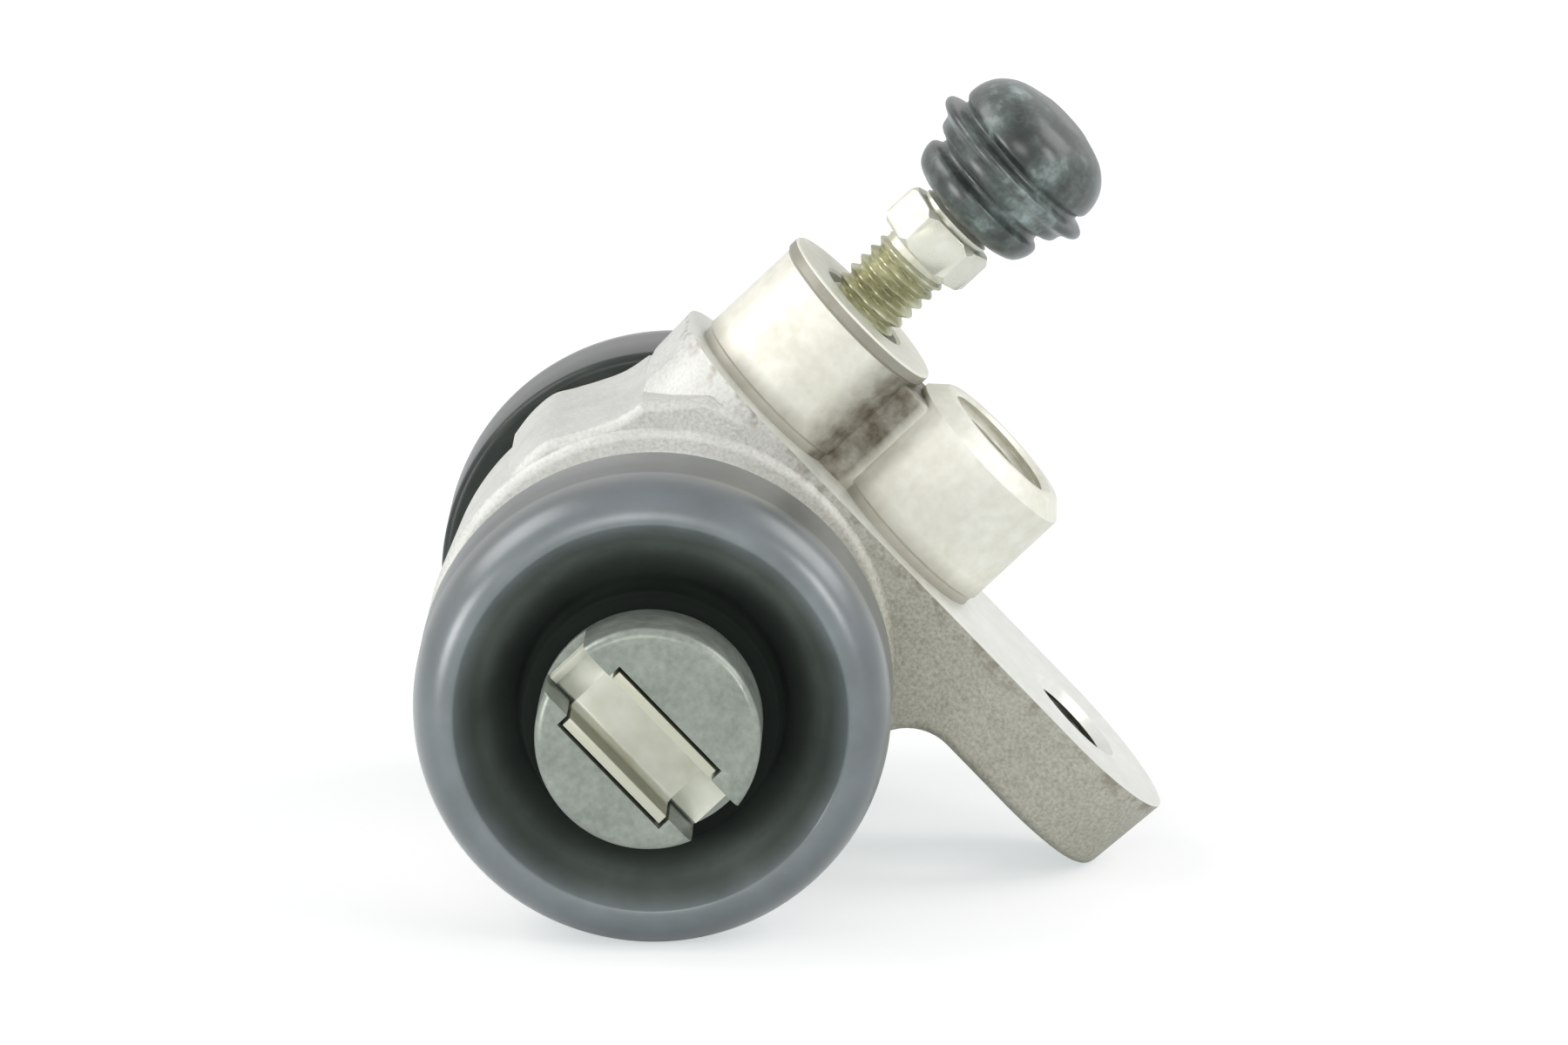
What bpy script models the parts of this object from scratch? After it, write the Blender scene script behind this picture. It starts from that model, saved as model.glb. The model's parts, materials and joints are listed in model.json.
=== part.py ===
# Drum brake wheel cylinder: a cast body with one mounting ear, two opposed pistons with
# slotted noses, their clips, cups and dust boots, a return spring, a bleed screw and its cap.
#
# It is drawn in its own frame: +Y along the bore, +Z square to the mounting face and +X
# towards the ear. An empty then turns and lifts the whole so that it lies as it does in the
# photograph, on the rims of both boots and on the lower corner of the ear.
# Sizes are in millimetres. MM turns them into metres.

import math

import bmesh
import bpy
from mathutils import Vector

MM = 0.001

# Fits
FIT_GAP = 0.3
PISTON_CLEARANCE = 0.1

# Bore and cast barrel
BORE_DIA = 19.05
BORE_CHAMFER = 0.8
NECK_WALL = 4.7
DRUM_STEP = 2.625
DRUM_DRAFT = 0.35
DRUM_HALF = 9.7
DRUM_ROUND = 0.9
NECK_LENGTH = 14.3
NECK_ROUND = 0.6
ROOT_FILLET = 1.4

# Groove in the neck for the bead of the boot
BEAD_INSET = 2.8
BEAD_GROOVE_WIDTH = 3.0
BEAD_GROOVE_DEPTH = 1.5

# Mounting pad and ear
PAD_LIFT = 0.775
PAD_HALF = 9.25
PAD_OVERHANG = 8.3
PAD_ROUNDNESS = 2.5
EAR_REACH = 25.5
EAR_THICKNESS = 7.1
EAR_FILLET = 4.0
SIDE_DRAFT = 0.055
HORN_DEPTH = 2.2
SHOULDER_HALF = 9.2
CAST_ROUND = 0.8
EAR_HOLE_DIA = 6.8
EAR_HOLE_CHAMFER = 0.5

# Bosses on the mounting side
BLEEDER_OFFSET = 7.4
BLEEDER_BOSS_DIA = 14.0
BLEEDER_BOSS_RISE = 9.9
BLEEDER_RIM = 0.9
INLET_OFFSET = 7.0
INLET_BOSS_DIA = 13.9
INLET_BOSS_RISE = 10.3
INLET_CHAMFER = 1.2
PORT_DIA = 9.1
PORT_DEPTH = 9.0
PORT_CHAMFER = 0.5
PASSAGE_DIA = 2.4
WEB_THICKNESS = 7.0
WEB_DROP = 1.3

# Piston
NOSE_DIA = 16.2
NOSE_CHAMFER = 0.7
NOSE_REACH = 12.8
LIP_GROOVE_SETBACK = 6.8
LIP_GROOVE_WIDTH = 2.4
LIP_GROOVE_DEPTH = 1.1
SKIRT_LENGTH = 6.9
CUP_GROOVE_WIDTH = 4.3
CUP_GROOVE_DEPTH = 2.7
PISTON_HEAD = 1.6
SPIGOT_DIA = 8.6
SPIGOT_LENGTH = 2.6

# Slot in the piston nose and the clip that lines it
SLOT_DROP = 0.8
CLIP_STEEL = 0.7
CLIP_INSIDE = 4.2
CLIP_LENGTH = 9.9
CLIP_DEPTH = 5.0
CLIP_TONGUE = 7.5
CLIP_TONGUE_LIP = 0.9

# Dust boot
BOOT_WALL = 2.72
BOOT_BACK = 6.0
BOOT_BAND_END = 2.0
BOOT_CREST = 5.9
BOOT_CREST_DROP = 3.05
BOOT_FOLD = 1.9
BOOT_RUBBER = 1.2
BOOT_LIP = 0.8

# Return spring
SPRING_WIRE = 1.5
SPRING_DIA = 12.6
SPRING_TURNS = 6.5

# Bleed screw and cap
SCREW_DIA = 5.9
SCREW_STANDOFF = 5.7
SEAT_DEPTH = 11.5
HEX_FLATS = 7.0
HEX_HEIGHT = 3.3
NIPPLE_DIA = 4.0
NIPPLE_LENGTH = 7.6
NIPPLE_BARB = 0.25
SCREW_DRILLING = 1.7
CAP_GAP = 1.0
CAP_LENGTH = 10.4
CAP_DIA = 12.3
CAP_FLANGE = 0.75

# How finely the round pieces are divided
BARREL_STEPS = 56
PISTON_STEPS = 48
BOSS_STEPS = 36
SMALL_STEPS = 28
WIRE_STEPS = 6
COIL_STEPS = 14

# Sizes that follow from the ones above
BORE_R = BORE_DIA / 2
NECK_R = BORE_R + NECK_WALL
DRUM_R = NECK_R + DRUM_STEP
BODY_END = DRUM_HALF + NECK_LENGTH
FACE_Z = DRUM_R + PAD_LIFT
UNDER_Z = FACE_Z - EAR_THICKNESS
BLEEDER_TOP = FACE_Z + BLEEDER_BOSS_RISE
INLET_TOP = FACE_Z + INLET_BOSS_RISE
PISTON_R = BORE_R - PISTON_CLEARANCE
NOSE_R = NOSE_DIA / 2
NOSE_FACE = BODY_END + NOSE_REACH
LIP_FRONT = NOSE_FACE - LIP_GROOVE_SETBACK
LIP_BACK = LIP_FRONT - LIP_GROOVE_WIDTH
LIP_R = NOSE_R - LIP_GROOVE_DEPTH
CUP_FRONT = BODY_END - SKIRT_LENGTH
CUP_BACK = CUP_FRONT - CUP_GROOVE_WIDTH
CUP_R = PISTON_R - CUP_GROOVE_DEPTH
HEAD_BACK = CUP_BACK - PISTON_HEAD
SCREW_R = SCREW_DIA / 2
SEAT_Z = BLEEDER_TOP - SEAT_DEPTH
HEX_Z = BLEEDER_TOP + SCREW_STANDOFF
HEX_TOP = HEX_Z + HEX_HEIGHT
CAP_Z = HEX_TOP + CAP_GAP


def clear_scene():
    for item in list(bpy.data.objects):
        bpy.data.objects.remove(item, do_unlink=True)


def material(name, colour, roughness, metallic):
    mat = bpy.data.materials.new(name)
    mat.use_nodes = True
    shader = mat.node_tree.nodes["Principled BSDF"]
    shader.inputs["Base Color"].default_value = (*colour, 1.0)
    shader.inputs["Roughness"].default_value = roughness
    shader.inputs["Metallic"].default_value = metallic
    return mat


def empty(name, parent=None, location=(0, 0, 0), turn=(0, 0, 0)):
    item = bpy.data.objects.new(name, None)
    bpy.context.scene.collection.objects.link(item)
    item.empty_display_size = 0.01
    item.parent = parent
    item.location = Vector(location) * MM
    item.rotation_euler = turn
    return item


def solid(name, bm, parent, mat=None, smooth=True, location=(0, 0, 0)):
    bmesh.ops.remove_doubles(bm, verts=bm.verts, dist=1e-7)
    bmesh.ops.recalc_face_normals(bm, faces=bm.faces)
    mesh = bpy.data.meshes.new(name)
    bm.to_mesh(mesh)
    bm.free()
    item = bpy.data.objects.new(name, mesh)
    bpy.context.scene.collection.objects.link(item)
    item.parent = parent
    item.location = Vector(location) * MM
    if smooth:
        mesh.shade_smooth()
        mesh.set_sharp_from_angle(angle=math.radians(32))
    if mat is not None:
        mesh.materials.append(mat)
    return item


def guide(item):
    item.hide_render = True
    item.display_type = "WIRE"
    return item


def combine(item, other, operation):
    mod = item.modifiers.new(operation.lower() + "_" + other.name, "BOOLEAN")
    mod.operation = operation
    mod.solver = "EXACT"
    mod.object = guide(other)
    return mod


def turned(profile, steps, axis="Y"):
    """A closed solid of revolution. The profile is a closed loop of (along, radius)."""
    bm = bmesh.new()
    rings = []
    for along, radius in profile:
        ring = []
        count = 1 if radius <= 0 else steps
        for k in range(count):
            angle = 2 * math.pi * k / steps
            across, up = radius * math.cos(angle), radius * math.sin(angle)
            spot = (across, along, up) if axis == "Y" else (across, up, along)
            ring.append(bm.verts.new(Vector(spot) * MM))
        rings.append(ring)
    for a, b in zip(rings, rings[1:] + rings[:1]):
        if len(a) == 1 and len(b) == 1:
            continue
        for k in range(steps):
            n = (k + 1) % steps
            corners = [a[k % len(a)], a[n % len(a)], b[n % len(b)], b[k % len(b)]]
            unique = list(dict.fromkeys(corners))
            bm.faces.new(unique)
    return bm


def prism(outline, low, high, axis, top=None):
    """A prism. The outline lies square to the axis: (x, z) for Y, (x, y) for Z.

    Where the far end differs, its own outline is given as the top.
    """
    bm = bmesh.new()
    layers = []
    for level, ends in ((low, outline), (high, top or outline)):
        if axis == "Y":
            spots = [(a, level, b) for a, b in ends]
        else:
            spots = [(a, b, level) for a, b in ends]
        layers.append([bm.verts.new(Vector(s) * MM) for s in spots])
    bm.faces.new(layers[0])
    bm.faces.new(layers[1])
    count = len(outline)
    for k in range(count):
        n = (k + 1) % count
        bm.faces.new([layers[0][k], layers[0][n], layers[1][n], layers[1][k]])
    return bm


def block(x0, x1, y0, y1, z0, z1):
    return prism([(x0, z0), (x1, z0), (x1, z1), (x0, z1)], y0, y1, "Y")


def arc(centre, radius, start, end, steps):
    """Points on an arc, angles in degrees."""
    points = []
    for k in range(steps + 1):
        angle = math.radians(start + (end - start) * k / steps)
        points.append((centre[0] + radius * math.cos(angle),
                       centre[1] + radius * math.sin(angle)))
    return points


def barrel_profile():
    """Half section of the barrel without its bore, from one end to the other."""
    groove_out = BODY_END - BEAD_INSET
    groove_in = groove_out - BEAD_GROOVE_WIDTH
    groove_r = NECK_R - BEAD_GROOVE_DEPTH
    neck = [(DRUM_HALF, NECK_R + ROOT_FILLET),
            (DRUM_HALF + 0.3 * ROOT_FILLET, NECK_R + 0.3 * ROOT_FILLET),
            (DRUM_HALF + ROOT_FILLET, NECK_R), (groove_in, NECK_R), (groove_in, groove_r),
            (groove_out, groove_r), (groove_out, NECK_R), (BODY_END - NECK_ROUND, NECK_R),
            (BODY_END, NECK_R - NECK_ROUND), (BODY_END, 0)]
    ends = []
    for edge in (DRUM_R + DRUM_DRAFT, DRUM_R - DRUM_DRAFT):
        ends.append([(DRUM_HALF - DRUM_ROUND, edge),
                     (DRUM_HALF - 0.3 * DRUM_ROUND, edge - 0.3 * DRUM_ROUND),
                     (DRUM_HALF, edge - DRUM_ROUND)] + neck)
    front, rear = ends
    return [(-y, r) for y, r in reversed(front)] + rear


def lug_outline():
    """Section of pad, ear and horn in the plane square to the bore."""
    inner_r = DRUM_R - DRUM_DRAFT
    fillet_z = UNDER_Z - EAR_FILLET
    reach = inner_r + EAR_FILLET
    fillet_x = math.sqrt(reach ** 2 - fillet_z ** 2)
    touch = math.degrees(math.atan2(-fillet_z, -fillet_x)) % 360
    tall = FACE_Z + 2
    far = EAR_REACH + PAD_HALF + 1
    left = -(BLEEDER_OFFSET + PAD_OVERHANG)
    low = FACE_Z - HORN_DEPTH
    inner = 0.45 * DRUM_R
    points = [(left - 1, tall), (left - 1, low), (left, low), (left + 0.35, low - 1.5),
              (left + 1.0, low - 3.0), (left + 1.5, low - 4.2), (left + 1.6, low - 6.0)]
    points += [(-inner, 0.2 * inner), (inner, 0.2 * inner)]
    points += arc((fillet_x, fillet_z), EAR_FILLET, touch, 90, 7)
    points += [(far, UNDER_Z), (far, tall)]
    return points


def shoulder_outline():
    """Section of the shoulder that carries the horn down into the drum."""
    return [(-1.01 * DRUM_R, 0.02 * DRUM_R), (-1.035 * DRUM_R, 0.16 * DRUM_R),
            (-1.03 * DRUM_R, 0.29 * DRUM_R), (-0.985 * DRUM_R, 0.38 * DRUM_R),
            (-0.93 * DRUM_R, 0.49 * DRUM_R), (-0.885 * DRUM_R, 0.6 * DRUM_R),
            (-0.865 * DRUM_R, 0.72 * DRUM_R), (-0.68 * DRUM_R, 0.95 * DRUM_R),
            (-0.45 * DRUM_R, 1.02 * DRUM_R), (-0.4 * DRUM_R, 0.2 * DRUM_R), (-0.8 * DRUM_R, 0)]


def plan_outline(half):
    """Plan of the pad: straight sides, a round ear and a squarer end at the horn."""
    centre = PAD_HALF - BLEEDER_OFFSET - PAD_OVERHANG
    outline = arc((EAR_REACH, 0), half, -90, 90, 16)
    power = 2 / PAD_ROUNDNESS
    for k in range(17):
        angle = math.pi * (k / 16 - 0.5)
        x, y = math.cos(angle), math.sin(angle)
        outline.append((centre - half * abs(x) ** power, -half * math.copysign(abs(y) ** power, y)))
    return outline


def cast_edges(item):
    rounding = item.modifiers.new("cast_round", "BEVEL")
    rounding.width = CAST_ROUND * MM
    rounding.segments = 2
    rounding.limit_method = "ANGLE"
    rounding.angle_limit = math.radians(40)


def build_body(parent, mat):
    body = solid("cylinder_body", turned(barrel_profile(), BARREL_STEPS), parent, mat)

    lug = solid("lug_form", prism(lug_outline(), -PAD_HALF - 2, PAD_HALF + 2, "Y"), parent)
    floor, roof = -2.0, FACE_Z + 1.5
    narrow = plan_outline(PAD_HALF - SIDE_DRAFT * (FACE_Z - floor))
    broad = plan_outline(PAD_HALF + SIDE_DRAFT * (roof - FACE_Z))
    plan = solid("lug_plan", prism(narrow, floor, roof, "Z", broad), parent)
    combine(lug, plan, "INTERSECT")
    cast_edges(lug)
    wide = EAR_REACH + PAD_HALF + 5
    planed = solid("face_trim", block(-wide, wide, -30, 30, FACE_Z, FACE_Z + 9), parent)
    combine(lug, planed, "DIFFERENCE")
    combine(body, lug, "UNION")
    shoulder = solid("shoulder_form", prism(shoulder_outline(), -SHOULDER_HALF, SHOULDER_HALF, "Y"),
                     parent)
    cast_edges(shoulder)
    combine(body, shoulder, "UNION")

    rim_r = BLEEDER_BOSS_DIA / 2
    inside = 0.45 * DRUM_R
    shank = rim_r - 0.2
    bleeder = [(inside, 0), (inside, shank), (BLEEDER_TOP - BLEEDER_RIM - 0.2, shank),
               (BLEEDER_TOP - BLEEDER_RIM, rim_r), (BLEEDER_TOP - 0.25, rim_r),
               (BLEEDER_TOP, rim_r - 0.25), (BLEEDER_TOP, 0)]
    boss = solid("bleeder_boss_form", turned(bleeder, BOSS_STEPS, "Z"), parent,
                 location=(-BLEEDER_OFFSET, 0, 0))
    combine(body, boss, "UNION")
    boss_r = INLET_BOSS_DIA / 2
    inlet = [(inside, 0), (inside, boss_r), (INLET_TOP - INLET_CHAMFER, boss_r),
             (INLET_TOP, boss_r - INLET_CHAMFER), (INLET_TOP, 0)]
    boss = solid("inlet_boss_form", turned(inlet, BOSS_STEPS, "Z"), parent,
                 location=(INLET_OFFSET, 0, 0))
    combine(body, boss, "UNION")
    web = block(-0.5 * BLEEDER_OFFSET, 0.5 * INLET_OFFSET, -WEB_THICKNESS / 2, WEB_THICKNESS / 2,
                inside + 1, BLEEDER_TOP - WEB_DROP)
    combine(body, solid("boss_web", web, parent), "UNION")

    beyond = BODY_END + 2
    mouth = BODY_END - BORE_CHAMFER
    bore = [(-beyond, 0), (-beyond, BORE_R + BORE_CHAMFER + 2), (-mouth, BORE_R),
            (mouth, BORE_R), (beyond, BORE_R + BORE_CHAMFER + 2), (beyond, 0)]
    combine(body, solid("bore_cut", turned(bore, PISTON_STEPS), parent), "DIFFERENCE")

    passage = PASSAGE_DIA / 2
    low = 0.5 * BORE_R
    tap = SCREW_R + FIT_GAP
    bleeder_hole = [(low, 0), (low, passage), (SEAT_Z, passage), (SEAT_Z + tap - passage, tap),
                    (BLEEDER_TOP - 0.6, tap), (BLEEDER_TOP + 1, tap + 1.6), (BLEEDER_TOP + 1, 0)]
    cut = solid("bleeder_cut", turned(bleeder_hole, SMALL_STEPS, "Z"), parent,
                location=(-BLEEDER_OFFSET, 0, 0))
    combine(body, cut, "DIFFERENCE")
    port = PORT_DIA / 2
    port_floor = INLET_TOP - PORT_DEPTH
    port_hole = [(low, 0), (low, passage), (port_floor - 1.2, passage), (port_floor, port),
                 (INLET_TOP - PORT_CHAMFER, port), (INLET_TOP + 1, port + PORT_CHAMFER + 1),
                 (INLET_TOP + 1, 0)]
    cut = solid("port_cut", turned(port_hole, BOSS_STEPS, "Z"), parent,
                location=(INLET_OFFSET, 0, 0))
    combine(body, cut, "DIFFERENCE")
    hole = EAR_HOLE_DIA / 2
    flare = hole + EAR_HOLE_CHAMFER + 1
    ear_hole = [(UNDER_Z - 1, 0), (UNDER_Z - 1, flare), (UNDER_Z + EAR_HOLE_CHAMFER, hole),
                (FACE_Z - EAR_HOLE_CHAMFER, hole), (FACE_Z + 1, flare), (FACE_Z + 1, 0)]
    cut = solid("ear_hole_cut", turned(ear_hole, SMALL_STEPS, "Z"), parent,
                location=(EAR_REACH, 0, 0))
    combine(body, cut, "DIFFERENCE")
    return body


def build_piston(name, parent, mat):
    """Piston with its nose towards -Y."""
    profile = [(-NOSE_FACE, 0), (-NOSE_FACE, NOSE_R - NOSE_CHAMFER),
               (-NOSE_FACE + 0.3 * NOSE_CHAMFER, NOSE_R - 0.3 * NOSE_CHAMFER),
               (-NOSE_FACE + NOSE_CHAMFER, NOSE_R),
               (-LIP_FRONT, NOSE_R), (-LIP_FRONT, LIP_R), (-LIP_BACK, LIP_R), (-LIP_BACK, NOSE_R),
               (-BODY_END, NOSE_R), (-BODY_END + 0.5, PISTON_R),
               (-CUP_FRONT, PISTON_R), (-CUP_FRONT, CUP_R), (-CUP_BACK, CUP_R),
               (-CUP_BACK, PISTON_R - 0.4), (-HEAD_BACK, PISTON_R - 0.4),
               (-HEAD_BACK, SPIGOT_DIA / 2), (-HEAD_BACK + SPIGOT_LENGTH, SPIGOT_DIA / 2 - 0.4),
               (-HEAD_BACK + SPIGOT_LENGTH, 0)]
    piston = solid(name, turned(profile, PISTON_STEPS), parent, mat)
    inner = CLIP_INSIDE / 2
    outer = inner + CLIP_STEEL + FIT_GAP
    floor = -NOSE_FACE + CLIP_DEPTH + CLIP_STEEL + FIT_GAP
    front = -NOSE_FACE - 1
    half = CLIP_LENGTH / 2 + FIT_GAP
    slot = solid(name + "_slot_cut", block(-NOSE_R - 2, NOSE_R + 2, front, floor,
                                           -SLOT_DROP - inner, -SLOT_DROP + inner), parent)
    combine(piston, slot, "DIFFERENCE")
    notch = solid(name + "_notch_cut", block(-half, half, front, floor,
                                             -SLOT_DROP - outer, -SLOT_DROP + outer), parent)
    combine(piston, notch, "DIFFERENCE")
    return piston


def build_clip(name, parent, mat):
    """Channel of pressed steel with a tongue along the floor of the slot."""
    inner = CLIP_INSIDE / 2
    outer = inner + CLIP_STEEL
    half = CLIP_LENGTH / 2
    face = -NOSE_FACE + 0.05
    floor = -NOSE_FACE + CLIP_DEPTH
    back = floor + CLIP_STEEL
    bend = 0.35 * CLIP_STEEL
    section = [(-outer, face), (-inner, face), (-inner, floor), (inner, floor), (inner, face),
               (outer, face), (outer, back - bend), (outer - bend, back),
               (-outer + bend, back), (-outer, back - bend)]
    bm = bmesh.new()
    ends = []
    for x in (-half, half):
        ends.append([bm.verts.new(Vector((x, y, z - SLOT_DROP)) * MM) for z, y in section])
    bm.faces.new(ends[0])
    bm.faces.new(ends[1])
    for k in range(len(section)):
        n = (k + 1) % len(section)
        bm.faces.new([ends[0][k], ends[0][n], ends[1][n], ends[1][k]])
    clip = solid(name, bm, parent, mat)
    width = inner - FIT_GAP
    low, high = -SLOT_DROP - width, -SLOT_DROP + width
    turned_up = floor - CLIP_TONGUE_LIP
    tongue = [(-CLIP_TONGUE, turned_up), (-CLIP_TONGUE + 0.6, turned_up),
              (-CLIP_TONGUE + 0.6, floor + 0.02), (CLIP_TONGUE, floor + 0.02),
              (CLIP_TONGUE, back - 0.02), (-CLIP_TONGUE, back - 0.02)]
    bm = prism(tongue, low, high, "Z")
    strip = solid(name + "_tongue_form", bm, parent)
    combine(clip, strip, "UNION")
    return clip


def build_cup(name, parent, mat):
    """Cup seal in its groove, lips towards the middle of the bore."""
    outer = PISTON_R
    inner = CUP_R + FIT_GAP
    back = -CUP_BACK - FIT_GAP
    front = -CUP_FRONT + FIT_GAP
    middle = 0.5 * (outer + inner)
    profile = [(front, inner), (front, outer - 0.5), (front + 0.5, outer - 0.25),
               (back - 0.4, outer), (back, outer - 0.25), (back, outer - 0.7),
               (back - 1.5, middle + 0.1), (back - 1.5, middle - 0.4), (back - 0.2, inner + 0.35),
               (back - 0.2, inner)]
    return solid(name, turned(profile, SMALL_STEPS + 4), parent, mat)


def build_boot(name, parent, mat):
    """Dust boot: bead in the neck groove, rounded rim, funnel, fold and piston lip."""
    outer = NECK_R + FIT_GAP + BOOT_WALL
    skin = NECK_R + FIT_GAP
    groove_out = BODY_END - BEAD_INSET - FIT_GAP
    groove_in = BODY_END - BEAD_INSET - BEAD_GROOVE_WIDTH + FIT_GAP
    bead = NECK_R - BEAD_GROOVE_DEPTH + FIT_GAP
    back = BODY_END - BOOT_BACK
    band = BODY_END + BOOT_BAND_END
    crest = BODY_END + BOOT_CREST
    crest_r = outer - BOOT_CREST_DROP
    sleeve = NOSE_R + FIT_GAP
    fold = BODY_END + BOOT_FOLD
    lip_front = LIP_FRONT - FIT_GAP
    lip_back = LIP_BACK + FIT_GAP
    lip = LIP_R + FIT_GAP
    web = BOOT_RUBBER
    run = crest - fold
    drop = crest_r - sleeve - web
    outside = [(back, skin), (back, outer - 0.6), (back + 0.2, outer - 0.2), (back + 0.7, outer)]
    outside += [(band, outer)]
    for k in range(1, 6):
        angle = math.radians(90 - 15 * k)
        outside.append((band + (crest - band) * math.cos(angle),
                        crest_r + BOOT_CREST_DROP * math.sin(angle)))
    outside += [(crest, crest_r)]
    funnel = [(0.22, 0.13), (0.62, 0.36), (0.9, 0.6), (1.0, 0.82), (0.92, 0.97)]
    outside += [(crest - a * run, crest_r - b * drop) for a, b in funnel]
    outside += [(lip_front - 0.5, sleeve + BOOT_LIP), (lip_front, sleeve + 0.4 * BOOT_LIP)]
    outside += [(lip_front, lip), (lip_back, lip), (lip_back, sleeve), (fold - 0.4, sleeve)]
    hollow = crest - 0.3 * run
    outside += [(fold - web, sleeve + 0.55), (fold - web, crest_r - 0.62 * drop),
                (crest - 0.62 * run - web, crest_r - 0.3 * drop + 0.6 * web),
                (hollow - web, crest_r), (hollow - 1.2 * web, crest_r + 0.5 * web)]
    outside += [(BODY_END + 1.2, skin + 0.5), (BODY_END + 0.3, skin)]
    outside += [(groove_out, skin), (groove_out, bead), (groove_in, bead), (groove_in, skin)]
    profile = [(-s, r) for s, r in outside]
    return solid(name, turned(profile, PISTON_STEPS), parent, mat)


def build_spring(name, parent, mat):
    """Round wire coil between the piston heads, with closed end turns."""
    wire = SPRING_WIRE / 2
    mean = SPRING_DIA / 2
    reach = HEAD_BACK - FIT_GAP - wire
    steps = int(SPRING_TURNS * COIL_STEPS)
    closed = 1.0 / SPRING_TURNS
    length = 2 * reach
    flat = 1.15 * SPRING_WIRE
    spots = []
    for k in range(steps + 1):
        t = k / steps
        angle = 2 * math.pi * SPRING_TURNS * t
        if t < closed:
            y = -reach + flat * t / closed
        elif t > 1 - closed:
            y = reach - flat * (1 - t) / closed
        else:
            y = -reach + flat + (length - 2 * flat) * (t - closed) / (1 - 2 * closed)
        spots.append(Vector((mean * math.cos(angle), y, mean * math.sin(angle))))
    bm = bmesh.new()
    rings = []
    for k, spot in enumerate(spots):
        ahead = spots[min(k + 1, steps)] - spots[max(k - 1, 0)]
        ahead.normalize()
        outward = Vector((spot.x, 0, spot.z)).normalized()
        side = ahead.cross(outward).normalized()
        outward = side.cross(ahead).normalized()
        ring = []
        for j in range(WIRE_STEPS):
            a = 2 * math.pi * (j + 0.5) / WIRE_STEPS
            spin = outward * math.cos(a) + side * math.sin(a)
            ring.append(bm.verts.new((spot + spin * wire) * MM))
        rings.append(ring)
    for a, b in zip(rings, rings[1:]):
        for j in range(WIRE_STEPS):
            n = (j + 1) % WIRE_STEPS
            bm.faces.new([a[j], a[n], b[n], b[j]])
    bm.faces.new(rings[0])
    bm.faces.new(rings[-1])
    return solid(name, bm, parent, mat)


def hexagon(flats):
    return arc((0, 0), flats / math.sqrt(3), 0, 300, 5)


def build_screw(parent, mat):
    """Bleed screw, origin at the top of its boss and on its axis."""
    top = BLEEDER_TOP
    seat = SEAT_Z - top
    tip = PASSAGE_DIA / 2 - FIT_GAP
    hexagon_low = HEX_Z - top
    hexagon_high = HEX_TOP - top
    nipple = NIPPLE_DIA / 2
    end = hexagon_high + NIPPLE_LENGTH
    shaft = hexagon_high + 0.3
    profile = [(seat + 0.2, 0), (seat + 0.2, tip), (seat + 0.2 + SCREW_R - tip, SCREW_R),
               (hexagon_low - 0.5, SCREW_R), (hexagon_low - 0.5, SCREW_R - 0.3),
               (hexagon_low + 0.4, SCREW_R - 0.3), (hexagon_low + 0.4, SCREW_R),
               (shaft, SCREW_R), (shaft + 0.4, SCREW_R - 0.4), (shaft + 0.4, nipple - 0.1),
               (end - 1.9, nipple - 0.1), (end - 1.7, nipple + NIPPLE_BARB),
               (end - 0.3, nipple - 0.2), (end, nipple - 0.4), (end, 0)]
    screw = solid("bleed_screw", turned(profile, SMALL_STEPS, "Z"), parent, mat)
    six = solid("hexagon_form", prism(hexagon(HEX_FLATS), hexagon_low, hexagon_high, "Z"), parent)
    cone = [(hexagon_low - 0.5, 0), (hexagon_low - 0.5, HEX_FLATS * 0.46),
            (hexagon_low + 0.7, HEX_FLATS * 0.6), (hexagon_high - 0.7, HEX_FLATS * 0.6),
            (hexagon_high + 0.5, HEX_FLATS * 0.46), (hexagon_high + 0.5, 0)]
    rounded = solid("hexagon_round", turned(cone, SMALL_STEPS, "Z"), parent)
    combine(six, rounded, "INTERSECT")
    combine(screw, six, "UNION")
    drill = SCREW_DRILLING / 2
    cross = seat + 0.2 + SCREW_R - tip + 1.2
    bore = [(cross - drill, 0), (cross - drill, drill), (end + 1, drill), (end + 1, 0)]
    combine(screw, solid("screw_drill_cut", turned(bore, 12, "Z"), parent), "DIFFERENCE")
    side = [(-SCREW_R - 1, 0), (-SCREW_R - 1, 0.8 * drill), (0, 0.8 * drill), (0, 0)]
    cut = solid("screw_cross_cut", turned(side, 12), parent, location=(0, 0, cross))
    combine(screw, cut, "DIFFERENCE")
    return screw


def build_cap(parent, mat):
    """Rubber cap, origin at the foot of the cap and on its axis."""
    big = CAP_DIA / 2
    inside = NIPPLE_DIA / 2 + NIPPLE_BARB + FIT_GAP
    length = CAP_LENGTH
    flange = big + CAP_FLANGE
    room = NIPPLE_LENGTH - CAP_GAP + FIT_GAP + 0.4
    outside = [(0, 0.66 * big), (0.04, 0.8 * big), (0.12, 0.88 * big), (0.2, 0.89 * big),
               (0.24, 0.8 * big), (0.29, 0.8 * big), (0.33, 0.94 * big), (0.41, 0.99 * big),
               (0.46, flange), (0.51, flange), (0.54, 0.98 * big), (0.58, 0.94 * big), (0.63, big),
               (0.74, 0.98 * big), (0.85, 0.88 * big), (0.94, 0.68 * big), (1, 0.35 * big)]
    profile = [(0, inside)] + [(f * length, r) for f, r in outside]
    profile += [(length, 0), (room, 0), (room, inside - 0.5), (room - 0.5, inside)]
    return solid("bleed_cap", turned(profile, BOSS_STEPS, "Z"), parent, mat)


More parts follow.
